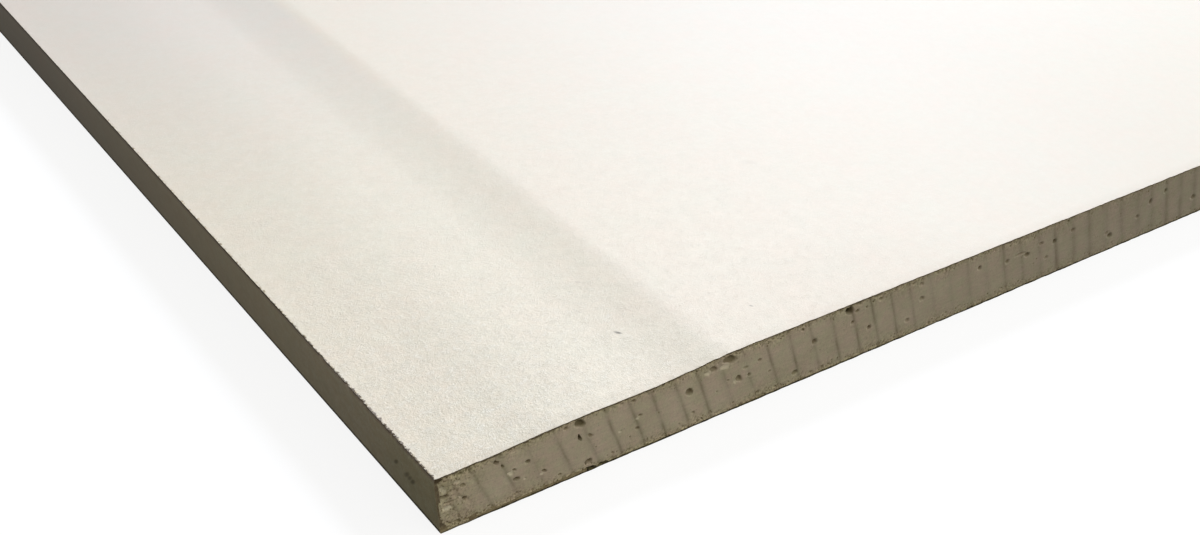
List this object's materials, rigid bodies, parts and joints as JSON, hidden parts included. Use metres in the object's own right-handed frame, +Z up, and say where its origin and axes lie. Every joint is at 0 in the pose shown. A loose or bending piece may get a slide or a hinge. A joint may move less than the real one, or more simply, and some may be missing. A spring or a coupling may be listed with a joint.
{
  "type": "drywall sheet",
  "caption": "Full gypsum board sheet lying face up, ivory face paper folded round both tapered long edges, bare core at the cut ends.",
  "frame": {"origin": "middle of the sheet's underside, where it rests on the floor", "axes": "+X across the width, +Y along the length, +Z up out of the face"},
  "size_m": [1.219, 2.4384, 0.0127],
  "materials": {
    "gypsum": "matte, porous, with saw marks and air voids on the cut ends",
    "face_paper": "matte ivory, fibrous",
    "back_paper": "matte grey-brown, fibrous"
  },
  "bodies": {
    "root": {"gypsum_core": "gypsum", "face_paper": "face_paper", "back_paper": "back_paper"}
  },
  "joints": []
}
